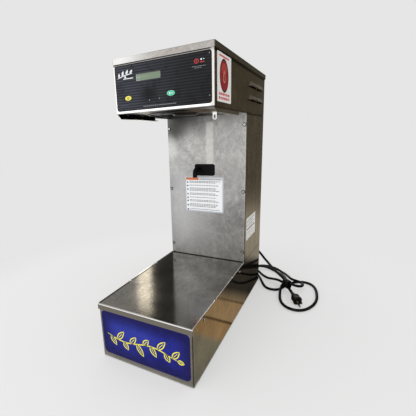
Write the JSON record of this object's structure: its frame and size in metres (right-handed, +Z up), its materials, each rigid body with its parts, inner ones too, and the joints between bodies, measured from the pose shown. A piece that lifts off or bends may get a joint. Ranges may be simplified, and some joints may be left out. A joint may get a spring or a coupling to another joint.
{
  "type": "iced tea maker",
  "caption": "Steel countertop tea brewer: a wide base to stand an urn on, a rear column with a spout, a head with keys and display over basket rails, and a coiled mains cord.",
  "frame": {"origin": "on the surface the machine stands on, at the middle of its width and of its depth, where the depth runs from the front lip of the base to the end of the water inlet fitting; the free mains cord is left out of the measure", "axes": "+Z up, +X to the machine's right as seen from the front, -Y towards the user at the front with the keys and +Y towards the water inlet at the back"},
  "size_m": [0.4691, 0.7205, 0.718],
  "materials": {
    "steel": "brushed stainless sheet",
    "steel_front": "brushed stainless sheet, front panels and cover",
    "steel_dark": "stainless sheet in the shade of the head",
    "blue_plate": null,
    "overlay": "near black film with fine horizontal grooves",
    "white_plate": "white plate with plain ruled marks",
    "lcd_glass": "grey green display window",
    "yellow_key": "yellow key",
    "green_key": "green key",
    "light_lens": "clear lens",
    "board": "green circuit board",
    "black_plastic": "black plastic",
    "black_rubber": "black rubber",
    "cord_sheath": "black cord sheath, satin",
    "red_plastic": "red plastic",
    "brown_plastic": "brown insulating plastic",
    "ivory_plastic": "ivory plastic",
    "clear_hose": "silicone hose",
    "gasket": "silicone gasket",
    "brass": "plain brass",
    "bright_metal": "bright plated metal",
    "screw_steel": "stainless screws and rivets"
  },
  "bodies": {
    "machine": {"base_shell": "steel", "base_top_plate": "steel_front", "base_front_panel": "steel_front", "front_plate": "blue_plate", "feet": "black_rubber", "column_shell": "steel", "column_front_panel": "steel_front", "column_screws": "screw_steel", "casing_screws": "screw_steel", "dilution_spout": "black_plastic", "instruction_plate": "white_plate", "data_plate": "white_plate", "head_shell": "steel", "head_front_panel": "steel_front", "control_overlay": "overlay", "lcd_window": "lcd_glass", "lcd_module": "board", "control_board": "board", "key_switches": "black_plastic", "status_lights": "light_lens", "top_cover": "steel_front", "brew_deck": "steel_dark", "left_rail": "steel_dark", "right_rail": "steel_dark", "rail_tab": "white_plate", "rail_rivets": "screw_steel", "spray_head": "steel_dark", "spray_fitting": "brass", "side_plate": "white_plate", "rear_panel": "steel", "water_inlet_fitting": "brass", "power_switch": "black_plastic", "water_tank": "steel_dark", "tank_lid": "steel_dark", "tank_gasket": "gasket", "tank_brackets": "steel_dark", "heating_element": "steel_dark", "temperature_probe": "steel_dark", "level_probe": "steel_dark", "limit_thermostat": "brown_plastic", "inlet_valve": "ivory_plastic", "brew_valve": "ivory_plastic", "dilution_valve": "ivory_plastic", "valve_coils": "red_plastic", "water_hoses": "clear_hose", "terminal_block": "ivory_plastic", "heater_relay": "black_plastic", "strain_relief": "black_plastic", "power_cord": "cord_sheath", "cord_hank": "cord_sheath", "cord_tie": "black_plastic", "plug_body": "black_plastic", "plug_pins": "brass"},
    "on_off_key": {"on_off_key": "yellow_key"},
    "brew_key": {"brew_key": "green_key"},
    "power_switch_lever": {"power_switch_lever": "bright_metal"},
    "limit_reset_button": {"limit_reset_button": "red_plastic"},
    "inlet_plunger": {"inlet_plunger": "steel_dark"},
    "brew_plunger": {"brew_plunger": "steel_dark"},
    "dilution_plunger": {"dilution_plunger": "steel_dark"}
  },
  "joints": [
    {"name": "on_off_key_press", "type": "slide", "parent": "machine", "child": "on_off_key", "axis": [0, 1, 0], "range_m": [0, 0.0005], "stiffness_N_per_m": 2000},
    {"name": "brew_key_press", "type": "slide", "parent": "machine", "child": "brew_key", "axis": [0, 1, 0], "range_m": [0, 0.0005], "stiffness_N_per_m": 2000},
    {"name": "power_switch_toggle", "type": "hinge", "parent": "machine", "child": "power_switch_lever", "pos_m": [0.0995, 0.284, 0.646], "axis": [1, 0, 0], "range_deg": [0, 26]},
    {"name": "limit_reset_press", "type": "slide", "parent": "machine", "child": "limit_reset_button", "axis": [0, -1, 0], "range_m": [0, 0.001], "stiffness_N_per_m": 1500},
    {"name": "inlet_plunger_lift", "type": "slide", "parent": "machine", "child": "inlet_plunger", "axis": [0, 0, 1], "range_m": [0, 0.003], "stiffness_N_per_m": 300, "springref_m": -0.003},
    {"name": "brew_plunger_lift", "type": "slide", "parent": "machine", "child": "brew_plunger", "axis": [0, 0, 1], "range_m": [0, 0.003], "stiffness_N_per_m": 300, "springref_m": -0.003},
    {"name": "dilution_plunger_lift", "type": "slide", "parent": "machine", "child": "dilution_plunger", "axis": [0, 0, 1], "range_m": [0, 0.003], "stiffness_N_per_m": 300, "springref_m": -0.003}
  ]
}
